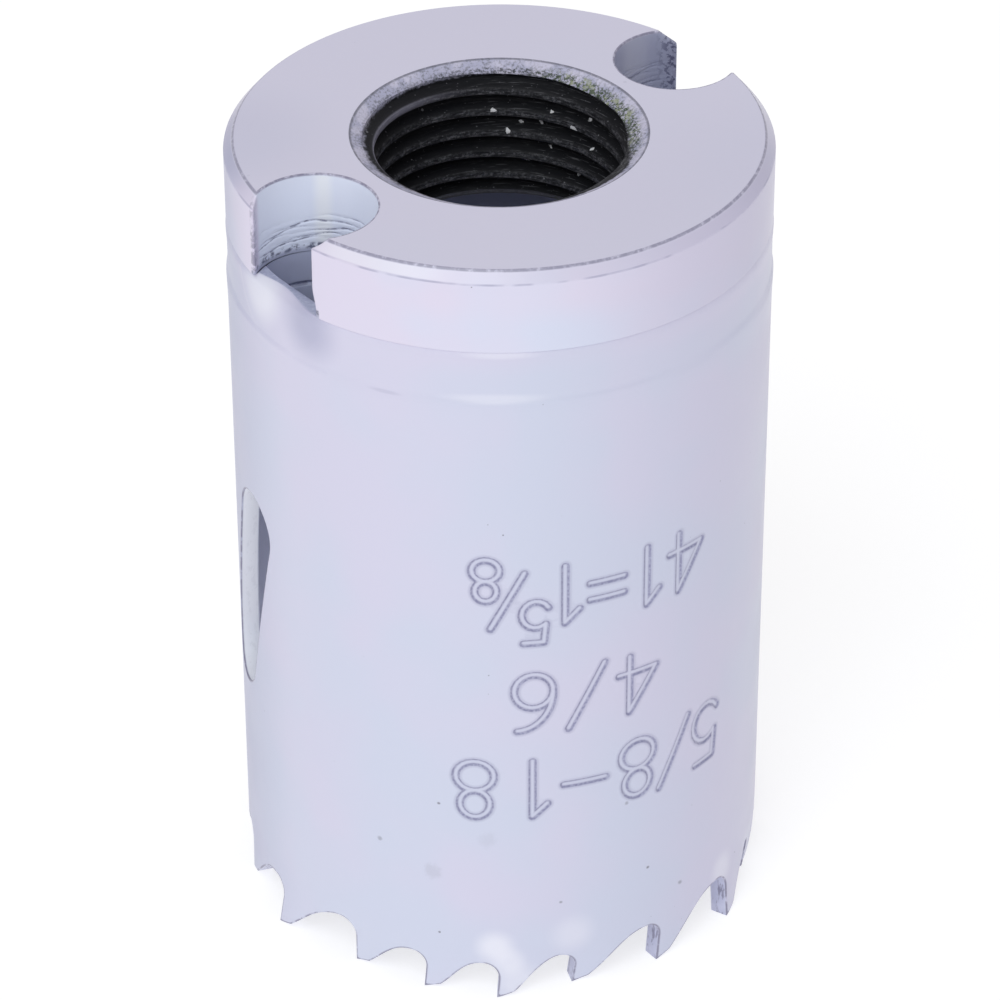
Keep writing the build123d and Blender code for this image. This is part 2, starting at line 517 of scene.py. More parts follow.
def wallRows(chain, cutFlags, closed, edge, faces, rows, place=None, between=()):
    # the strip's thickness along a cut, with rounded edges; rows and faces are added to
    start = countOf(rows)
    pulled = inset(chain, np.where(cutFlags, edge, 0.0), closed)
    outer = [(1 - math.sin(t), edge * (1 - math.cos(t))) for t in np.radians((0, 22.5, 45, 67.5, 90))]
    inner = [(share, saw["wall"] - depth) for share, depth in reversed(outer)]
    levels = outer + [(0, share * saw["wall"]) for share in between] + inner
    for share, depth in levels:
        line = chain + (pulled - chain) * share
        if place is not None:
            line = place(line, depth)
        rows.append(np.column_stack([line, np.full(len(line), depth)]))
    faces += [(face[::-1], flag) for face, flag in rowsToFaces(start, len(levels), len(chain), closed)]
    return pulled


def rolledPiece(name, rows, faces, cutEdges):
    points = np.vstack(rows)
    first, rings, flags = weldPoints(points, faces, (stripLeft, around))
    strip = points[first]
    normals = skinNormals(strip)
    normals[strip[:, 2] > saw["wall"] / 2] *= -1
    edgeMark = np.full(len(strip), 3.0)
    low = np.flatnonzero((strip[:, 1] < 7.5) | (windowGap(strip[:, 0], strip[:, 1]) < 3))
    edgeMark[low] = np.minimum(nearest(strip[low, :2], cutEdges), 3.0)
    marks = {
        "edgeMark": edgeMark,
        "strokeMark": np.where(strip[:, 2] < 0.01, strokeDistance(strip[:, 0], strip[:, 1]), 1.0),
        "depthMark": strip[:, 2] / saw["wall"],
    }
    return makeObject(name, rollUp(strip), rings, marks, normals, flags == 1)


def windowLoop():
    # a window's edge on its own flat plane, clockwise
    half = (window["length"] - window["width"]) / 2
    side = arcOf(window["width"] / 2, np.linspace(0, -math.pi, 20))
    ends = [side + [0, -half], -side + [0, half]]
    straight = np.linspace(0, 1, 24)[1:-1, None]
    left = ends[0][-1] + straight * (ends[1][0] - ends[0][-1])
    right = ends[1][-1] + straight * (ends[0][0] - ends[1][-1])
    ring = np.vstack([ends[0], left, ends[1], right])
    x, y = ring.T
    c, s = math.cos(-window["lean"]), math.sin(-window["lean"])
    return np.column_stack([x * c - y * s, x * s + y * c + window["height"]])


def punchPlace(angle):
    # a window is punched straight through, so its edge shifts along the strip with depth
    middle = stripPlace(angle)

    def place(line, depth):
        turn = np.arcsin(line[:, 0] / (saw["radius"] - depth))
        return np.column_stack([middle + turn * saw["radius"], line[:, 1]])

    return place


def windowGap(u, v):
    # distance outside the nearest window, negative in it
    gaps = []
    for angle in window["angles"]:
        turn = (u - stripPlace(angle)) / saw["radius"]
        x = np.where(np.cos(turn) < 0, 30, saw["radius"] * np.sin(turn))
        y = v - window["height"]
        s, c = math.sin(window["lean"]), math.cos(window["lean"])
        along, across = x * s + y * c, x * c - y * s
        half = (window["length"] - window["width"]) / 2
        gaps.append(np.hypot(across, along - np.clip(along, -half, half)) - window["width"] / 2)
    return np.minimum(*gaps)


spacing = {  # of the points that fill the skin
    "teeth": 0.3,
    "body": 0.8,
    "band": 0.4,
    "dips": 0.17,
    "dipReach": 4.8,
    "strokes": 0.075,
    "besideStrokes": 0.3,
    "inside": 2.0,  # times as wide on the barrel's inside
    "teethTop": 6.5,  # the body's wider spacing lies between these heights
    "bandFoot": 41.8,
    "wallTop": 0.35,
    "side": 0.45,
    "tips": (0.24, 0.4),  # outside and inside
    "clear": 0.15,  # free space along an edge
}


def dipGap(u):
    # distance along the strip from the nearer dip
    return np.minimum(*[np.abs(awayFrom(u, angle)) for angle in dip["angles"]])


def skinSpots(chainTree, fine):
    # points to fill the skin with: close together where the shape is busy
    left, right, top = stripLeft, stripRight, saw["shoulder"]
    low, high = spacing["teethTop"], spacing["bandFoot"]
    scale = 1.0 if fine else spacing["inside"]
    groups = [gridSpots(left, right, 0, low, spacing["teeth"] * scale)]
    dips = gridSpots(left, right, high, top, spacing["dips"] * scale)
    rest = gridSpots(left, right, high, top, spacing["band"] * scale)
    reach = spacing["dipReach"]
    groups += [dips[dipGap(dips[:, 0]) < reach], rest[dipGap(rest[:, 0]) >= reach + 0.1]]
    body = gridSpots(left, right, low, high, spacing["body"] * scale)
    if fine:
        marks = gridSpots(*stampArea, spacing["strokes"])
        beside = gridSpots(*stampArea, spacing["besideStrokes"])
        gap = strokeDistance(*beside.T)
        groups += [marks[strokeDistance(*marks.T) < 0.2], beside[(gap > 0.28) & (gap < 0.95)]]
        body = body[strokeDistance(*body.T) > 0.97]
    spots = np.vstack(groups + [body])
    u, v = spots.T
    clear = spacing["clear"]
    inside = (u > left + clear) & (u < right - clear) & (v < top - cut["topRound"] - 0.08)
    spots = spots[inside & (windowGap(u, v) > clear + 0.1)]
    byEdge = (spots[:, 1] < 7) | (spots[:, 1] > top - 0.5)
    kept = np.ones(len(spots), bool)
    kept[byEdge] = nearest(spots[byEdge], chainTree) > clear + 0.01
    return spots[kept]


def addSkin(loops, spots, keep, level, faces, rows, outward):
    # a flat sheet between loops, at one depth in the wall or one height of the cap
    flat, triangles = triangulate(loops, spots, keep)
    start = countOf(rows)
    rows.append(np.column_stack([flat, np.full(len(flat), level)]))
    for a, b, c in (triangles + start).tolist():
        faces.append(((a, b, c) if outward else (c, b, a), 1))


def makeBarrel():
    parts = []
    for tooth in range(firstTooth, firstTooth + toothCount):
        faceHigh, joint, backHigh, _, _ = toothOutline(tooth)
        parts += [(faceHigh, True), (joint, False), (backHigh, True)]
    bottom, bottomCut = chainOf(parts)
    across = np.append(np.arange(stripLeft, stripRight, spacing["wallTop"]), stripRight)[::-1]
    top = np.column_stack([across, np.full(len(across), saw["shoulder"])])
    topCut = np.ones(len(top) - 1, bool)
    rows, faces = [], []
    lowEdge = wallRows(bottom, bottomCut, False, cut["round"], faces, rows)
    highEdge = wallRows(top, topCut, False, cut["topRound"], faces, rows, None, cut["topShares"])
    seam = np.arange(lowEdge[0, 1] + 0.4, highEdge[-1, 1] - 0.2, spacing["side"])
    rightSide = np.column_stack([np.full(len(seam), stripRight), seam])
    leftSide = np.column_stack([np.full(len(seam), stripLeft), seam[::-1]])
    outline = np.vstack([lowEdge, rightSide, highEdge, leftSide])
    chainTree = treeOf(np.vstack([bottom, top]))
    ring = windowLoop()
    opening = inset(ring, np.full(len(ring), cut["windowRound"]), True)
    punches = [punchPlace(angle) for angle in window["angles"]]
    for depth, fine in ((0.0, True), (saw["wall"], False)):
        loops = [outline] + [punch(opening, depth) for punch in punches]

        def keep(centres):
            inside = centres[:, 1] < saw["shoulder"] - cut["topRound"]
            low = centres[:, 1] < 6
            inside[low] = insidePolygon(centres[low], outline)
            for loop in loops[1:]:
                inside &= ~insidePolygon(centres, loop)
            return inside

        addSkin(loops, skinSpots(chainTree, fine), keep, depth, faces, rows, fine)
    for punch in punches:
        wallRows(ring, np.ones(len(ring), bool), True, cut["windowRound"], faces, rows, punch)
    edges = [bottom[1:][bottomCut]] + [punch(ring, 0.0) for punch in punches]
    return rolledPiece("barrelShell", rows, faces, treeOf(np.vstack(edges)))


def makeTip(tooth):
    _, joint, _, faceLow, backLow = toothOutline(tooth)
    loop, cutFlags = chainOf([(faceLow, True), (backLow, True), (joint[::-1], False)])
    loop = loop[:-1]
    rows, faces = [], []
    pulled = wallRows(loop, cutFlags, True, cut["round"], faces, rows)
    (left, low), (right, high) = pulled.min(0), pulled.max(0)
    tree = treeOf(loop)
    for depth, step in zip((0.0, saw["wall"]), spacing["tips"]):
        spots = gridSpots(left, right, low, high, step)
        spots = spots[insidePolygon(spots, pulled)]
        spots = spots[nearest(spots, tree) > spacing["clear"]] if len(spots) else spots
        addSkin([pulled], spots, lambda middle: insidePolygon(middle, pulled), depth, faces, rows, depth == 0)
    edges = treeOf(np.vstack([faceLow, backLow]))
    return rolledPiece(f"tip_{tooth % toothCount + 1:02d}", rows, faces, edges)


barrelShell = makeBarrel()
print("barrel rolled:", len(barrelShell.data.polygons), "faces")
tips = [makeTip(tooth) for tooth in range(firstTooth, firstTooth + toothCount)]
print("tips cut:", len(tips))

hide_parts("barrel")
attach(barrelShell, "root")
for tip in tips:
    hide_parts("tooth_" + tip.name)
    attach(tip, "root")

cap = {
    "chamferWide": 0.6,
    "chamferTall": 0.7,
    "spigot": 14.82,
    "holeRadius": 3.6,
    "holePlace": 13.4,
    "corner": 0.1,  # rounding of the horns beside each drive hole
    "edge": 0.04,
    "holeEdge": 0.05,
    "turned": 15.955,  # radius under the rim's bevel
    "burr": {  # at the last horn of each drive hole; pairs are for the east and the west hole
        "place": (15.77, 2.71),
        "reach": 0.75,
        "push": (0.58, 0.34),
        "foot": (44.6, 46.5),
        "full": (46.2, 48.0),
        "fade": 50.3,
    },
    "groove": (43.95, 0.22, 0.16),  # height, half width and depth of the groove low in each drive hole
    "scoreTop": 49.3,
    "scoreSeeds": (1.3, 4.1),
    "spacing": 0.7,  # of points on the top and the foot, and the free space along their edges
    "clear": 0.25,
}
thread = {
    "major": 7.9375,
    "minor": 7.26,
    "pitch": 25.4 / 18,
    "crestHeight": 49.68,
    "crestAngle": 51.0,
    "sink": 8.65,
    "sinkSlope": math.tan(math.radians(60)),
    "flank": (0.1, 0.42),  # from a crest's flat to a root's, as shares of the pitch
    "columns": 216,
    "rows": 16,
    "end": 0.3,  # bevel at the thread's foot
    "sinkRound": 0.05,
}


def hornRing(outer, hole, height):
    # outline at one height: radius outside, radius of the drive holes; with the angle about each hole
    corner, place = cap["corner"], cap["holePlace"]
    x = ((outer - corner) ** 2 - (hole + corner) ** 2 + place**2) / (2 * place)
    y = math.sqrt((outer - corner) ** 2 - x**2)
    rim = math.atan2(y, x)
    mouth = math.atan2(y, x - place)
    lap = 2 * math.pi
    arcs = (  # middle, radius, first and last angle, points, and whether it is the hole's wall
        (x, -y, corner, -rim, math.pi - mouth, 7, False),
        (place, 0, hole, -mouth, mouth - lap, 90, True),
        (x, y, corner, math.pi + mouth, lap + rim, 7, False),
        (0, 0, outer, rim, math.pi - rim, 74, False),
    )
    half = []
    for midX, midY, radius, start, end, count, bored in arcs:
        turns = np.linspace(start, end, count)[slice(None) if radius == corner else slice(1, -1)]
        half += [(midX + radius * math.cos(t), midY + radius * math.sin(t), t % lap * bored) for t in turns]
    half = np.array(half)
    ring = np.vstack([half, half * [-1, -1, 1]])
    return np.column_stack([ring[:, :2], np.full(len(ring), height)]), ring[:, 2]


scoreLines = (  # where a drill's chip scored the drive holes: height, rise to the right, depth
    (46.55, 0.9, 0.05), (46.8, 1.15, 0.07), (47.0, 1.3, 0.05), (47.35, 1.3, 0.08),
    (47.6, 1.25, 0.05), (47.85, 1.35, 0.07), (48.25, 1.0, 0.04),
)


def scoreDepth(turn, height, seed):
    # depth of the score lines round a drive hole
    deep = np.zeros_like(turn)
    across = np.clip((turn - math.radians(60)) / math.radians(240), 0, 1)
    for i, (start, rise, depth) in enumerate(scoreLines):
        wander = 0.07 * np.sin(5 * turn + i * 1.7 + seed) + 0.04 * np.sin(11 * turn + i * 2.9 + seed)
        gap = height - (start + rise * (1 - across) ** 1.6 + wander)
        uneven = 0.65 + 0.35 * np.sin(3 * turn + i * 2.1 + seed)
        deep = np.maximum(deep, depth * uneven * np.exp(-((gap / 0.055) ** 2)))
    fade = smooth(across, -0.02, 0.05) * (1 - smooth(across, 0.95, 1.02))
    return deep * fade


def capLevels():
    # outer radius, drive hole radius and height, from the spigot's foot up to the rim
    top, foot, shoulder = saw["height"], saw["capBottom"], saw["shoulder"]
    radius, hole, edge = cap["turned"], cap["holeRadius"], cap["edge"]
    levels = [(cap["spigot"] - 0.25, hole + 0.12, foot), (cap["spigot"] - 0.1, hole + 0.04, foot + 0.08)]
    levels += [(cap["spigot"], hole, z) for z in np.arange(foot + 0.25, shoulder, 0.12)]
    levels += [(cap["spigot"], hole, shoulder), (radius - edge, hole, shoulder)]
    levels += [(radius - edge * 0.3, hole, shoulder + edge * 0.3), (radius, hole, shoulder + edge)]
    levels += [(radius, hole, z) for z in np.arange(shoulder + 0.12, cap["scoreTop"] + 0.3, 0.07)]
    slopeFoot = top - cap["chamferTall"]
    levels += [(radius, hole, z) for z in np.linspace(cap["scoreTop"] + 0.35, slopeFoot - 0.06, 6)]
    slope = cap["chamferWide"] / cap["chamferTall"]
    levels += [(radius - 0.008, hole, slopeFoot), (radius - 0.06 * slope - 0.003, hole, slopeFoot + 0.06)]
    rises = np.linspace(0.15, cap["chamferTall"] - 0.08, 4)
    levels += [(radius - rise * slope, hole, slopeFoot + rise) for rise in rises]
    for t in np.linspace(0, math.pi / 2, 5)[1:]:
        drop = 0.06 * (1 - math.sin(t))
        out = radius - (cap["chamferTall"] - drop) * slope - 0.03 * (1 - math.cos(t))
        levels.append((out, hole + cap["holeEdge"] * (1 - math.cos(t)), top - drop))
    return levels


def threadProfile(phase):
    # radius through one pitch, crest in the middle
    gap = np.abs((phase % 1) - 0.5)
    return thread["minor"] + (thread["major"] - thread["minor"]) * smooth(gap, *thread["flank"])


def makeBore(rows, faces):
    columns, perPitch, pitch = thread["columns"], thread["rows"], thread["pitch"]
    top, foot = saw["height"], saw["capBottom"]
    start = thread["crestHeight"] - pitch * (0.5 + (math.radians(thread["crestAngle"]) / (2 * math.pi)))
    start -= pitch * math.ceil((start - foot) / pitch + 1.2)
    count = perPitch * math.ceil((top - start) / pitch + 1.2)
    j, i = np.meshgrid(np.arange(count), np.arange(columns))
    height = start + pitch * (j / perPitch + i / columns)
    radius = threadProfile(j / perPitch)
    height = np.clip(height, foot, top)
    cone = thread["sink"] - (top - height) * thread["sinkSlope"]
    cone = cone + thread["sinkRound"] * np.clip((height - top + 0.1) / 0.1, 0, 1) ** 2
    end = thread["major"] + thread["end"] - (height - foot)
    radius = np.maximum(np.maximum(radius, cone), end)
    turn = 2 * math.pi * i / columns
    first = countOf(rows)
    rows.append(np.stack([radius * np.cos(turn), radius * np.sin(turn), height], 2).reshape(-1, 3))
    for a in range(columns):
        b, lift = (a + 1, 0) if a + 1 < columns else (0, perPitch)
        for k in range(count - 1):
            if k + 1 + lift < count:
                here, there = first + a * count + k, first + b * count + k + lift
                faces.append(((here, here + 1, there + 1, there), 2))
    crest = 1 - smooth(np.abs(((j / perPitch) % 1) - 0.5), 0.08, 0.2)
    return crest.ravel()


def burrPush(ring, height):
    # how far the drill drew the last horn of each hole toward the middle of its mouth
    burr = cap["burr"]
    move = np.zeros(len(ring))
    for side, push, foot, full in zip((1, -1), burr["push"], burr["foot"], burr["full"]):
        away = np.hypot(side * ring[:, 0] - burr["place"][0], side * ring[:, 1] - burr["place"][1])
        tall = smooth(height, foot, full) * (1 - smooth(height, burr["fade"], saw["height"]))
        move -= side * push * tall * np.exp(-((away / burr["reach"]) ** 2))
    return move


def makeCap():
    rows, faces, scores = [], [], []
    middle, half, depth = cap["groove"]
    for outer, hole, height in capLevels():
        ring, turn = hornRing(outer, hole, height)
        wall = turn > 0
        deep = np.zeros(len(ring))
        east = ring[:, 0] > 0
        seeds = np.where(east, *cap["scoreSeeds"])
        deep[wall] = scoreDepth(turn[wall], np.full(wall.sum(), height), seeds[wall])
        if abs(height - middle) < half:
            deep[wall] += depth * math.cos((height - middle) / half * math.pi / 2) ** 2
        centre = np.where(east, 1, -1) * cap["holePlace"]
        away = (ring[:, :2] - np.column_stack([centre, np.zeros(len(ring))])) / hole
        ring[:, :2] += away * deep[:, None] * wall[:, None]
        ring[:, 1] += burrPush(ring, height)
        rows.append(ring)
        scores.append(deep)
    faces += rowsToFaces(0, len(rows), len(rows[0]), True)
    ends = (
        (rows[-1], thread["sink"] + thread["sinkRound"], saw["height"]),
        (rows[0], thread["major"] + thread["end"], saw["capBottom"]),
    )
    crests = makeBore(rows, faces)
    across, clear = saw["radius"], cap["clear"]
    turns = np.arange(thread["columns"]) * 2 * math.pi / thread["columns"]
    for ring, radius, height in ends:
        edge, hole = ring[:, :2], arcOf(radius, turns)
        spots = gridSpots(-across, across, -across, across, cap["spacing"])
        spots = spots[insidePolygon(spots, edge) & (np.hypot(*spots.T) > np.hypot(*hole[0]) + clear - 0.05)]
        spots = spots[nearest(spots, treeOf(edge)) > clear]

        def keep(centres):
            return insidePolygon(centres, edge) & ~insidePolygon(centres, hole)

        addSkin([edge, hole], spots, keep, height, faces, rows, height == saw["height"])
    points = np.vstack(rows)
    score, crest = np.zeros((2, len(points)))
    bored = countOf(scores)
    score[:bored] = np.concatenate(scores)
    crest[bored : bored + len(crests)] = crests
    first, rings, flags = weldPoints(points, faces)
    welded = points[first]
    marks = {"scoreMark": score[first], "crestMark": crest[first]}
    up = np.where(welded[:, 2:] > saw["shoulder"], [[0, 0, 1.0]], [[0, 0, -1.0]])
    return makeObject("capTurned", welded, rings, marks, up, flags == 1, 32), flags == 2


capTurned, boreFaces = makeCap()
print("cap turned:", len(capTurned.data.polygons), "faces")
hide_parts("end_cap")
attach(capTurned, "root")


def feed(node, inputs):
    # set a node's inputs: each is a value, or the output that feeds it
    for key, value in inputs.items():
        if isinstance(value, bpy.types.NodeSocket):
            node.id_data.links.new(value, node.inputs[key])
        else:
            node.inputs[key].default_value = value


def addNode(kind, inputs, tree=None, **settings):
    # a shader node, in the same tree as the outputs that feed it
    tree = tree or next(value for value in inputs.values() if isinstance(value, bpy.types.NodeSocket)).id_data
    made = tree.nodes.new("ShaderNode" + kind)
    for key, value in settings.items():
        setattr(made, key, value)
    feed(made, inputs)
    return made


def reckon(operation, *values):
    return addNode("Math", dict(enumerate(values)), operation=operation).outputs[0]


def times(*values):
    result = values[0]
    for value in values[1:]:
        result = reckon("MULTIPLY", result, value)
    return result


def lengthOf(x, y):
    return reckon("SQRT", reckon("ADD", reckon("POWER", x, 2.0), reckon("POWER", y, 2.0)))


def sway(value, field, amount):
    # a value moved up and down by an uneven field
    return reckon("MULTIPLY_ADD", reckon("SUBTRACT", field, 0.5), amount, value)


def ease(value, low, high, start=0.0, end=1.0):
    # smooth change from start to end as the value goes from low to high
    inputs = {"Value": value, "From Min": low, "From Max": high, "To Min": start, "To Max": end}
    return addNode("MapRange", inputs, interpolation_type="SMOOTHSTEP").outputs["Result"]


def fall(value, low, high):
    return ease(value, low, high, 1.0, 0.0)


def near(value, place, reach):
    # 1 at a place, falling to 0 at reach from it
    return fall(reckon("ABSOLUTE", reckon("SUBTRACT", value, place)), reach * 0.3, reach)


def tint(factor, under, over):
    under, over = [(*shade, 1) if isinstance(shade, tuple) else shade for shade in (under, over)]
    return addNode("Mix", {0: factor, 6: under, 7: over}, data_type="RGBA").outputs[2]


def cover(colour, shade, *amounts):
    # lay a shade over a colour, as strongly as the product of its amounts
    return tint(times(*amounts), colour, shade)


def stretched(where, amounts):
    return addNode("VectorMath", {0: where, 1: amounts}, operation="MULTIPLY").outputs[0]


grain = {  # uneven patterns: scale, detail, roughness
    "drift": (0.09, 2.0, 0.55),
    "streak": (0.35, 2.0, 0.55),
    "gloss": (0.25, 2.0, 0.55),
    "peel": (1.1, 2.0, 0.55),
    "grit": (9.0, 2.0, 0.55),
    "blot": (3.0, 3.0, 0.55),
    "stroke": (7.0, 3.0, 0.55),
    "worn": (1.3, 4.0, 0.55),
    "ledge": (4.5, 3.0, 0.6),
    "scratch": (3.2, 4.0, 0.65),
    "face": (1.4, 3.0, 0.55),
    "ragged": (2.6, 4.0, 0.65),
    "coarse": (0.45, 2.0, 0.55),
    "speckle": (3.6, 4.0, 0.7),
    "powder": (5.5, 5.0, 0.75),
    "patch": (0.8, 2.0, 0.55),
    "mould": (1.7, 4.0, 0.7),
    "dust": (1.2, 4.0, 0.7),
    "turned": (2.0, 2.0, 0.6),
}


def cloud(where, kind):
    scale, detail, rough = grain[kind]
    inputs = {"Vector": where, "Scale": scale, "Detail": detail, "Roughness": rough}
    return addNode("TexNoise", inputs).outputs["Fac"]


def specks(where, scale, share, size):
    # small dots in a few cells of a grid, by share; size is a part of a cell
    cell = addNode("TexVoronoi", {"Vector": where, "Scale": scale, "Randomness": 1.0})
    chosen = addNode("SeparateColor", {0: cell.outputs["Color"]}).outputs
    dot = reckon("LESS_THAN", cell.outputs["Distance"], reckon("MULTIPLY", chosen[1], size))
    return times(dot, reckon("LESS_THAN", chosen[0], share))


def markOf(tree, name):
    return addNode("Attribute", {}, tree, attribute_name=name).outputs["Fac"]


def placesOf(tree):
    # in millimetres: a place on the saw, its parts, its radius and its distance from a drive hole's axis
    seen = addNode("TexCoord", {}, tree).outputs["Object"]
    where = addNode("VectorMath", {0: seen, "Scale": metre}, operation="SCALE").outputs[0]
    x, y, height = addNode("SeparateXYZ", {0: where}).outputs
    side = reckon("SUBTRACT", reckon("ABSOLUTE", x), cap["holePlace"])
    return where, (x, y, height), lengthOf(x, y), lengthOf(side, y)


def spotAt(angle, radius, height):
    # a place on the saw, its angle counted from the figures
    turn = math.radians(angle + stamp["zeroAngle"])
    return radius * math.cos(turn), radius * math.sin(turn), height


def distanceTo(where, spot):
    return addNode("VectorMath", {0: where, 1: spot}, operation="DISTANCE").outputs["Value"]


def patch(where, spot, start, reach, strength=1.0, rest=0.0):
    # strong round a spot, and fading between two distances from it
    return ease(distanceTo(where, spot), start, reach, strength, rest)


def startFinish(name):
    made = bpy.data.materials.new(name)
    made.use_nodes = True
    return made, made.node_tree, made.node_tree.nodes["Principled BSDF"]


paint = {
    "cool": (0.625, 0.655, 0.80),
    "warm": (0.665, 0.645, 0.80),
    "edge": (0.20, 0.19, 0.29),  # bare steel and dirt on worn edges
    "outline": (0.27, 0.27, 0.42),  # dirt at the sides of stamped strokes
    "dirt": (0.20, 0.20, 0.25),
    "thin": (0.27, 0.29, 0.40),  # little paint reached the cap's underside
    # painted shade and painted highlight, laid over the coat where light and shade are painted
    "shade": (0.35, 0.36, 0.53),
    "paintedHighlight": (0.85, 0.85, 0.94),
    "upright": (0.5, 0.5, 0.05),  # stretches the faint runs in the coat
    "runs": 0.9,
    "turnsWarm": 1.2,  # half the height over which the coat turns warmer
    "dots": ((0.55, 0.16, 0.07), (1.6, 0.05, 0.09)),  # scale, share, size
    "gloss": 0.30,
    "peel": 0.05,
    "grit": 0.08,
}


def paintCoat(where, height, warmFrom, cool, warm):
    # the coat itself: colour drifts a little between cool and warm, with a few specks
    soft = paint["turnsWarm"]
    higher = ease(height, warmFrom - soft, warmFrom + soft, 0.0, 0.6)
    warmth = reckon("ADD", ease(cloud(where, "drift"), 0.35, 0.68), higher)
    warmth = sway(warmth, cloud(stretched(where, paint["upright"]), "streak"), paint["runs"])
    colour = tint(addNode("Clamp", {0: warmth}).outputs[0], cool, warm)
    dots = [specks(where, *dot) for dot in paint["dots"]]
    return cover(colour, paint["dirt"], reckon("MAXIMUM", *dots), 0.75)


def bumpOf(relief, strength, tall):
    return addNode("Bump", {"Strength": strength, "Distance": tall / metre, "Height": relief}).outputs[0]


def finishPaint(shader, colour, where):
    gloss = ease(cloud(where, "gloss"), 0.3, 0.7, paint["gloss"], paint["gloss"] + 0.05)
    relief = reckon("MULTIPLY_ADD", cloud(where, "grit"), paint["grit"], cloud(where, "peel"))
    feed(shader, {"Base Color": colour, "Roughness": gloss, "Normal": bumpOf(relief, 0.2, paint["peel"])})


def layPaintedShading(where, colour, places):
    # painted light and shade: each entry fades round a spot, or round an upright line
    for angle, tall, start, reach, strength, shade in places:
        seen = where if tall else stretched(where, (1.0, 1.0, 0.0))
        spot = spotAt(angle, saw["radius"], tall or 0)
        colour = cover(colour, paint[shade], patch(seen, spot, start, reach, strength))
    return colour


shell = {
    "warmFrom": 45.2,
    "groove": (0.70, 0.72, 0.87),
    # painted light: the cut walls are lightened almost to white
    "paintedLitWall": (0.90, 0.915, 1.0),
    "ledge": (0.40, 0.42, 0.57),  # top of the wall, where the dips bare it
    "faceDark": (0.40, 0.41, 0.58),  # uneven coat on the teeth's cut faces
    "faceLight": (0.66, 0.67, 0.84),
    "inside": (0.62, 0.64, 0.78),
    "gloom": (0.04, 0.045, 0.07),  # painted shade: the unlit wall that shows through the bore
    "teethTo": (5.5, 7.0),  # the cut faces are cleaner above the teeth
    "paintedGlintShape": (0.12, 0.12, 1.0),  # painted glints are long and level
    "paintedShading": (  # painted light and shade: angle, height or None for an upright line, start, reach, strength, colour
        (-60, 45.3, 0.6, 2.6, 0.95, "paintedHighlight"), (-43, 45.2, 0.4, 2.9, 0.6, "shade"),
        (-88, None, 1.5, 11.0, 0.66, "shade"), (86, None, 0.5, 7.0, 0.14, "shade"),
        (68, None, 3.0, 22.0, 0.17, "shade"), (-1.6, 3.6, 0.3, 1.6, 0.75, "paintedHighlight"),
        (1.4, 2.5, 0.3, 1.4, 0.6, "paintedHighlight"), (3.4, 1.0, 0.4, 1.9, 0.5, "paintedHighlight"),
        (15.5, 4.2, 0.3, 1.9, 0.35, "paintedHighlight"), (57.8, 3.7, 0.3, 1.6, 0.45, "paintedHighlight"),
    ),
    "paintedGlints": (  # painted highlights by the weld band's edges, and one darker dash at its lower edge: angle, height, reach, strength, colour
        (0, 45.95, 0.34, 0.35, "paintedHighlight"), (-1, 43.05, 0.45, 0.35, "paintedHighlight"), (-24, 42.75, 0.16, 0.2, "outline"),
    ),
    "dabs": (  # specks and smudges: angle, height, size, strength
        (-27.2, 10.62, 0.22, 0.5), (-13.5, 14.29, 0.13, 0.8), (7.3, 14.66, 0.12, 0.7),
        (27.8, 13.15, 0.2, 0.5), (33.5, 7.63, 0.16, 0.9), (42.8, 5.18, 0.22, 0.6),
        (12.8, 6.76, 0.14, 0.6), (-15, 9.06, 0.75, 0.15), (-3, 11.82, 0.75, 0.09),
    ),
}


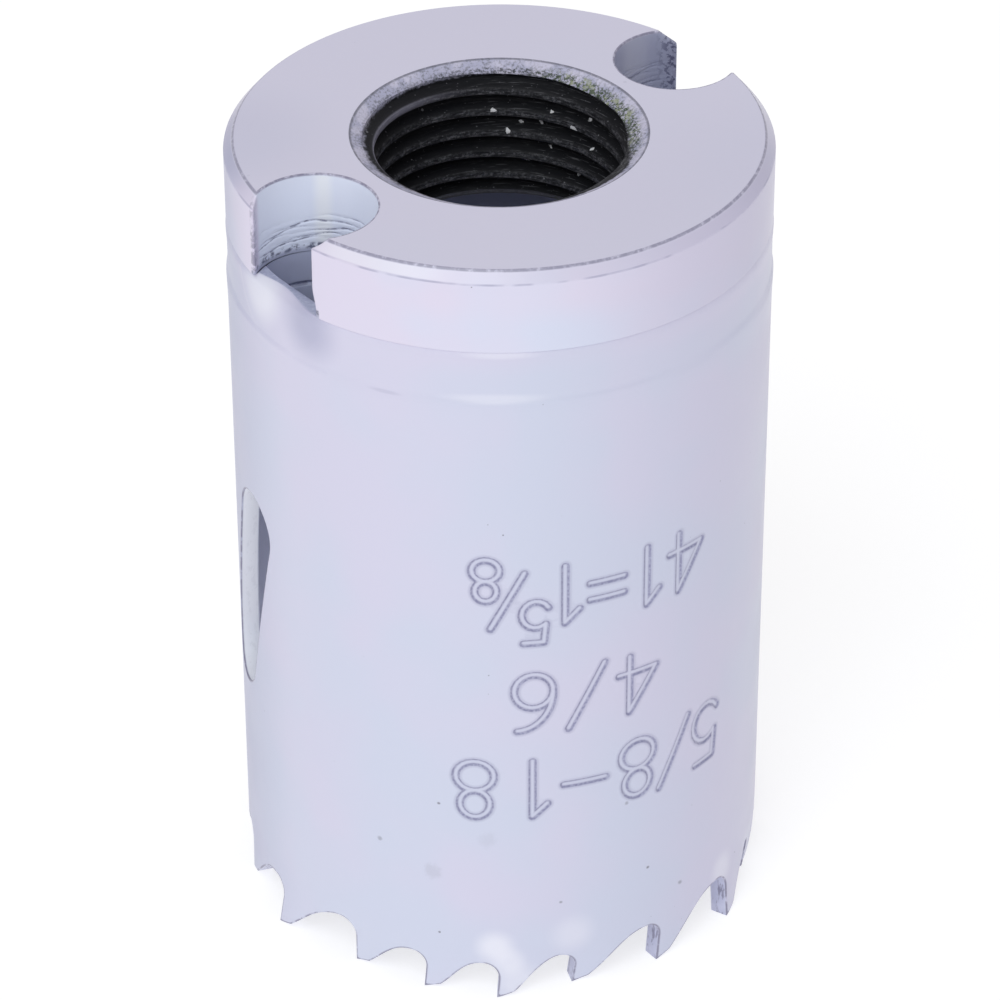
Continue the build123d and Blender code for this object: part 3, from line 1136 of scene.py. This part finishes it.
def shellPaint():
    made, tree, shader = startFinish("shellPaint")
    where, (_, _, height), _, _ = placesOf(tree)
    edge, stroke, depth = [markOf(tree, name) for name in ("edgeMark", "strokeMark", "depthMark")]
    colour = paintCoat(where, height, shell["warmFrom"], paint["cool"], paint["warm"])
    # painted highlights on the dip's bulge and the set teeth's bends, painted shade in the dip and down the
    # sides
    colour = layPaintedShading(where, colour, shell["paintedShading"])
    # painted highlights along the weld band's edges
    level = stretched(where, shell["paintedGlintShape"])
    for angle, tall, reach, strength, shade in shell["paintedGlints"]:
        spot = tuple(a * b for a, b in zip(spotAt(angle, saw["radius"], tall), shell["paintedGlintShape"]))
        colour = cover(colour, paint[shade], patch(level, spot, reach * 0.3, reach, strength))
    blot = cloud(where, "blot")
    for angle, tall, size, strength in shell["dabs"]:
        away = sway(distanceTo(where, spotAt(angle, saw["radius"], tall)), blot, size)
        colour = cover(colour, paint["dirt"], ease(away, size * 0.3, size, strength, 0.0))

    # stamped strokes are pale inside, with dirt along their sides
    colour = cover(colour, shell["groove"], ease(stroke, -0.17, -0.09, 0.55, 0.0))
    colour = cover(colour, tint(0.3, colour, paint["outline"]), near(stroke, -0.02, 0.26))
    broken = ease(cloud(where, "stroke"), 0.32, 0.6, 0.35, 1.0)
    colour = cover(colour, paint["outline"], near(stroke, -0.035, 0.10), broken)

    # worn edges, then the cut faces: windows and wall top, with painted light on the cut walls, and the
    # marred faces of the teeth
    worn = times(fall(edge, 0.05, 0.15), ease(cloud(where, "worn"), 0.36, 0.54, 0.15, 1.0))
    colour = cover(colour, paint["edge"], worn, fall(depth, 0.25, 0.4), 0.85)
    wall = times(ease(depth, 0.05, 0.12), fall(depth, 0.9, 0.97))
    uneven = ease(cloud(where, "ledge"), 0.35, 0.6, 0.8, 1.0)
    colour = cover(colour, cover(shell["paintedLitWall"], shell["ledge"], ease(height, 44.9, 45.4), uneven), wall)
    faceColour = tint(cloud(where, "face"), shell["faceDark"], shell["faceLight"])
    colour = cover(colour, faceColour, wall, fall(height, *shell["teethTo"]))
    scratch = ease(cloud(stretched(where, (1.0, 1.0, 0.25)), "scratch"), 0.54, 0.64)
    colour = cover(colour, paint["edge"], wall, scratch, ease(height, *shell["teethTo"], 0.8, 0.08))

    # the barrel's inside
    inner = ease(depth, 0.93, 0.99)
    innerColour = tint(ease(height, 33.0, 39.0), shell["inside"], paint["thin"])
    colour = cover(colour, innerColour, inner, ease(height, 1.0, 9.0))
    colour = cover(colour, shell["gloom"], inner, near(height, 36.5, 6.0), 0.6)
    finishPaint(shader, colour, where)
    return made


lid = {
    "warmFrom": 48.3,
    # the cap's coat is painted lighter than the barrel's as painted light, and turns pinker above warmFrom
    "cool": (0.68, 0.71, 0.865),
    "warm": (0.735, 0.685, 0.835),
    # painted light: the top face is painted lighter
    "top": (0.765, 0.75, 0.905),
    "paintedGleam": (0.90, 0.88, 0.98),  # painted highlight on a stretch of the rim's bevel
    "paintedGleamSpot": (-27, 15.7, 50.8),
    "westWall": (0.815, 0.86, 1.0),  # the drive holes' walls: painted light on the west one, painted shade on the east one
    "eastWall": (0.37, 0.385, 0.52),
    # painted highlight: an upright stripe on the west hole's wall
    "lit": (0.92, 0.945, 1.0),
    "litSpot": (-11.08, 2.36, 0.0),
    "speckle": (0.06, 0.06, 0.13),
    "holeFoot": (0.37, 0.39, 0.54),
    "score": (0.21, 0.22, 0.33),
    "seam": (0.16, 0.17, 0.25),
    # painted shade down the cap's sides: angle, height or None for an upright line, start, reach, strength,
    # colour
    "paintedShading": (
        (-88, None, 1.5, 8.0, 0.7, "shade"), (78, None, 1.0, 9.0, 0.2, "shade"),
        (58, None, 2.0, 15.0, 0.3, "shade"),
    ),
}


def capPaint():
    made, tree, shader = startFinish("capPaint")
    where, (x, y, height), radius, hole = placesOf(tree)
    ragged = cloud(where, "ragged")
    colour = paintCoat(where, height, lid["warmFrom"], lid["cool"], lid["warm"])
    # painted shade down the cap's sides
    colour = layPaintedShading(where, colour, lid["paintedShading"])
    # painted light: a lighter top face
    top = ease(height, 51.0, 51.1)
    colour = cover(colour, lid["top"], top, 0.8)
    # painted highlight on the rim's bevel, at the front
    paintedGleam = patch(where, spotAt(*lid["paintedGleamSpot"]), 1.5, 5.5, 0.6)
    colour = cover(colour, lid["paintedGleam"], ease(height, 50.55, 50.62), paintedGleam, fall(top, 0.2, 0.8))
    coarse = ease(cloud(where, "coarse"), 0.42, 0.6, 0.0, 0.5)
    wornLines = (  # across what, at which place, reach, where it shows, how unevenly, colour
        (radius, saw["radius"] - cap["chamferWide"], 0.11, top, ease(ragged, 0.30, 0.55, 0.3, 0.75), "edge"),
        (height, saw["height"] - cap["chamferTall"], 0.08, ease(radius, 15.85, 15.9), coarse, "outline"),
        (hole, cap["holeRadius"] + 0.03, 0.10, top, ease(ragged, 0.34, 0.56, 0.25, 0.85), "edge"),
    )
    for across, place, reach, shown, uneven, shade in wornLines:
        colour = cover(colour, paint[shade], near(across, place, reach), shown, uneven)

    # in the drive holes: the bored wall with painted light and shade, a painted highlight, its torn outer
    # lip, dark specks, the turned foot and the score lines
    inHole = fall(hole, cap["holeRadius"] + 0.25, cap["holeRadius"] + 0.3)
    east = ease(x, -1.0, 1.0)
    deepIn = reckon("MAXIMUM", ease(radius, 15.6, 15.2), times(east, ease(radius, 15.93, 15.85)))
    wall = times(inHole, deepIn, fall(height, 51.0, 51.15))
    colour = cover(colour, tint(east, lid["westWall"], lid["eastWall"]), wall)
    # painted highlight on the west hole's wall
    lit = patch(stretched(where, (1.0, 1.0, 0.0)), lid["litSpot"], 0.2, 0.8)
    colour = cover(colour, lid["lit"], wall, lit)
    torn = reckon("MAXIMUM", east, ease(y, -0.5, 0.5))
    lip = times(inHole, ease(radius, 15.4, 15.9), ease(ragged, 0.40, 0.58))
    colour = cover(colour, paint["edge"], lip, ease(height, 46.2, 50.9, 0.8, 0.4), torn)
    speckle = ease(cloud(where, "speckle"), 0.48, 0.56)
    colour = cover(colour, lid["speckle"], inHole, east, ease(radius, 15.0, 15.7), speckle, 0.8)
    colour = cover(colour, lid["holeFoot"], inHole, ease(height, 46.15, 46.6, 0.8, 0.0))
    score = ease(markOf(tree, "scoreMark"), 0.012, 0.045)
    colour = cover(colour, lid["score"], score, ease(ragged, 0.35, 0.6, 0.25, 0.9))
    seam = near(height, saw["shoulder"] + 0.35, 0.3)
    colour = cover(colour, lid["seam"], inHole, seam, ease(ragged, 0.44, 0.62))

    # the underside, where little paint has reached
    under = fall(height, saw["shoulder"] - 0.4, saw["shoulder"] - 0.1)
    colour = cover(colour, paint["thin"], under, fall(inHole, 0.4, 0.6))
    finishPaint(shader, colour, where)
    return made


bore = {
    "dark": (0.006, 0.0065, 0.009),
    "dust": (0.20, 0.20, 0.22),
    "mauve": (0.34, 0.33, 0.42),  # overspray on the first crests
    "light": (0.85, 0.85, 0.88),
    "green": (0.40, 0.43, 0.30),
    "grimeGreen": (0.075, 0.105, 0.06),
    "grimeDark": (0.035, 0.037, 0.04),
    "grains": (0.17, 0.175, 0.20),
    "rim": (0.16, 0.16, 0.20),
    "chalk": (0.50, 0.50, 0.66),  # overspray in the countersink
    "paintedTo": 50.55,  # the paint reaches down to here
    "grimeSpot": (118, 7.7, 51),  # angle, radius and height
    "baredSpot": (42, 8, 51),
    "mauveSpot": (-100, 7.5, 50),
    "scratchedSpot": (140, 7.5, 47),
    "dots": (  # scale, share, size, strength
        (1.9, 0.16, 0.17, 0.8), (3.6, 0.22, 0.2, 0.55), (7.0, 0.16, 0.26, 0.5),
    ),
    "chipScale": 8.0,
    "flecks": (  # loose flakes of paint: angle, radius, height, size
        (143.3, 7.28, 47.98, 0.22), (176.1, 7.3, 47.04, 0.17), (124.6, 7.64, 50.55, 0.14),
        (155.9, 7.56, 48.52, 0.1), (161.2, 7.93, 47.45, 0.12), (-177.2, 7.27, 48.45, 0.14),
        (170.3, 7.93, 47.4, 0.1), (137.1, 7.92, 48.65, 0.1), (132.9, 7.5, 47.0, 0.09),
        (157.5, 7.93, 45.97, 0.1), (167.9, 7.93, 44.8, 0.12), (143.3, 7.93, 44.55, 0.13),
    ),
    "rough": 0.55,
    "sheen": 0.22,
}


def sinkPaint(where, radius, ragged, powder):
    # countersink, with overspray and grime
    sink = thread["sink"]
    uneven = cloud(where, "patch")
    colour = tint(ease(uneven, 0.4, 0.6), bore["chalk"], paint["warm"])
    grains = ease(powder, 0.48, 0.60, 0.0, 0.75)
    colour = cover(colour, bore["grains"], grains, ease(uneven, 0.35, 0.6, 1.0, 0.35))
    colour = cover(colour, bore["rim"], near(radius, sink, 0.13), ease(ragged, 0.28, 0.52, 0.3, 0.75))
    inside = sway(radius, ragged, 0.5)
    spot = spotAt(*bore["grimeSpot"])
    inner = times(ease(inside, sink - 0.50, sink - 0.68), patch(where, spot, 6.0, 14.0, 1.0, 0.35))
    colour = cover(colour, bore["grimeDark"], inner, ease(powder, 0.42, 0.56, 0.15, 0.9))
    grime = times(patch(where, spot, 3.0, 8.0, 0.9), ease(inside, sink - 0.25, sink - 0.65))
    colour = cover(colour, bore["grimeGreen"], grime, ease(powder, 0.44, 0.56))
    green = times(patch(where, spot, 3.0, 8.0), ease(cloud(where, "mould"), 0.52, 0.62))
    return cover(colour, bore["green"], green, ease(inside, sink - 0.2, sink - 0.5), 0.75)


def threadPaint(tree, where, height, powder, streaks):
    # dark thread with dust on its crests, scratches, and loose flakes of paint
    crest = markOf(tree, "crestMark")
    colour = cover(bore["dark"], bore["dust"], crest, streaks, ease(powder, 0.42, 0.60, 0.15, 0.9))
    mauve = patch(where, spotAt(*bore["mauveSpot"]), 3.0, 9.0, 0.9)
    colour = cover(colour, bore["mauve"], crest, ease(height, 49.2, 50.4), mauve)
    turned = ease(cloud(stretched(where, (0.35, 0.35, 14.0)), "turned"), 0.62, 0.66)
    scratched = patch(where, spotAt(*bore["scratchedSpot"]), 4.0, 11.0)
    colour = cover(colour, bore["dust"], turned, scratched, 0.35)
    for scale, share, size, strength in bore["dots"]:
        colour = cover(colour, bore["dust"], specks(where, scale, share, size), strength)
    chips = addNode("TexVoronoi", {"Vector": where, "Scale": bore["chipScale"]}).outputs["Position"]
    for angle, out, tall, size in bore["flecks"]:
        colour = cover(colour, bore["light"], patch(chips, spotAt(angle, out, tall), size, size + 0.01), 0.9)
    return colour


def borePaint():
    made, tree, shader = startFinish("borePaint")
    where, (_, _, height), radius, _ = placesOf(tree)
    ragged, powder = cloud(where, "ragged"), cloud(where, "powder")
    streaks = ease(cloud(stretched(where, (1.0, 1.0, 6.0)), "dust"), 0.40, 0.64, 0.12, 0.85)
    bared = patch(where, spotAt(*bore["baredSpot"]), 2.5, 6.0, 0.4)
    fray = reckon("SUBTRACT", sway(height, ragged, 0.45), bared)
    colour = sinkPaint(where, radius, ragged, powder)
    threadColour = threadPaint(tree, where, height, powder, streaks)
    colour = cover(colour, threadColour, fall(fray, bore["paintedTo"] - 0.1, bore["paintedTo"] + 0.1))
    relief = bumpOf(reckon("MULTIPLY_ADD", powder, 0.6, streaks), 0.5, 0.04)
    feed(shader, {"Base Color": colour, "Roughness": bore["rough"], "Normal": relief})
    feed(shader, {"Specular IOR Level": bore["sheen"]})
    return made


shellFinish = shellPaint()
for piece in [barrelShell, *tips]:
    piece.data.materials.append(shellFinish)
capTurned.data.materials.append(capPaint())
capTurned.data.materials.append(borePaint())
capTurned.data.polygons.foreach_set("material_index", boreFaces.astype(np.int32))
print("paint mixed")

view = {
    "place": (-150.2, -185.5, 187.3),
    "heading": math.radians(38.988),
    "pitch": math.radians(-34.14),
    "roll": math.radians(-0.20),
    "lens": 170.96,
    "sensor": 36,
    "sees": (0.01, 10),  # nearest and furthest, in metres
}


def makeCamera():
    camera = addObject("camera", bpy.data.cameras.new("camera"))
    camera.data.sensor_width = view["sensor"]
    camera.data.lens = view["lens"]
    camera.data.clip_start, camera.data.clip_end = view["sees"]
    turn = Matrix.Rotation(-view["heading"], 3, "Z") @ Matrix.Rotation(math.pi / 2 + view["pitch"], 3, "X")
    turn = turn @ Matrix.Rotation(view["roll"], 3, "Z")
    camera.matrix_world = Matrix.Translation(Vector(view["place"]) / metre) @ turn.to_4x4()
    bpy.context.scene.camera = camera


studio = {
    "sky": 0.52,
    "skyColour": (1.0, 0.978, 1.0),
    "floorSize": 3,  # half its side, in metres
    "floorColour": (0.5, 0.5, 0.5, 1),
    "floorGlow": 0.66,
    "keyColour": (0.94, 1.0, 1.0),
    "aim": Vector((0, 0, 0.025)),
    "lamps": (  # name, angle from the figures' middle, height angle, distance, width, length, watts
        ("key", -20, 52, 1.2, 0.7, 0.7, 5.0),
        ("strip", 0, 8, 0.7, 0.085, 0.12, 0.22),
    ),
}


def makeFloor():
    side = studio["floorSize"]
    sheet = bpy.data.meshes.new("floor")
    corners = [(-side, -side, 0), (side, -side, 0), (side, side, 0), (-side, side, 0)]
    sheet.from_pydata(corners, [], [(0, 1, 2, 3)])
    finish, _, shader = startFinish("floorWhite")
    feed(shader, {"Base Color": studio["floorColour"], "Roughness": 0.9, "Specular IOR Level": 0.0})
    feed(shader, {"Emission Color": (1, 1, 1, 1), "Emission Strength": studio["floorGlow"]})
    sheet.materials.append(finish)
    floor = addObject("floor", sheet)


def makeLamp(name, angle, rise, away, width, length, watts):
    light = bpy.data.lights.new(name, "AREA")
    light.shape = "RECTANGLE"
    light.size, light.size_y = width, length
    light.energy = watts
    light.color = studio["keyColour"]
    lamp = addObject(name, light)
    turn, lift = math.radians(angle + stamp["zeroAngle"]), math.radians(rise)
    toward = Vector((math.cos(turn) * math.cos(lift), math.sin(turn) * math.cos(lift), math.sin(lift)))
    lamp.location = studio["aim"] + away * toward
    lamp.rotation_euler = (studio["aim"] - lamp.location).to_track_quat("-Z", "Y").to_euler()


def makeSky():
    world = bpy.data.worlds.new("studio")
    bpy.context.scene.world = world
    world.use_nodes = True
    feed(world.node_tree.nodes["Background"], {"Color": (*studio["skyColour"], 1), "Strength": studio["sky"]})


makeCamera()
makeFloor()
makeSky()
for lamp in studio["lamps"]:
    makeLamp(*lamp)
bpy.context.scene.view_settings.view_transform = "Standard"
print("studio lit")
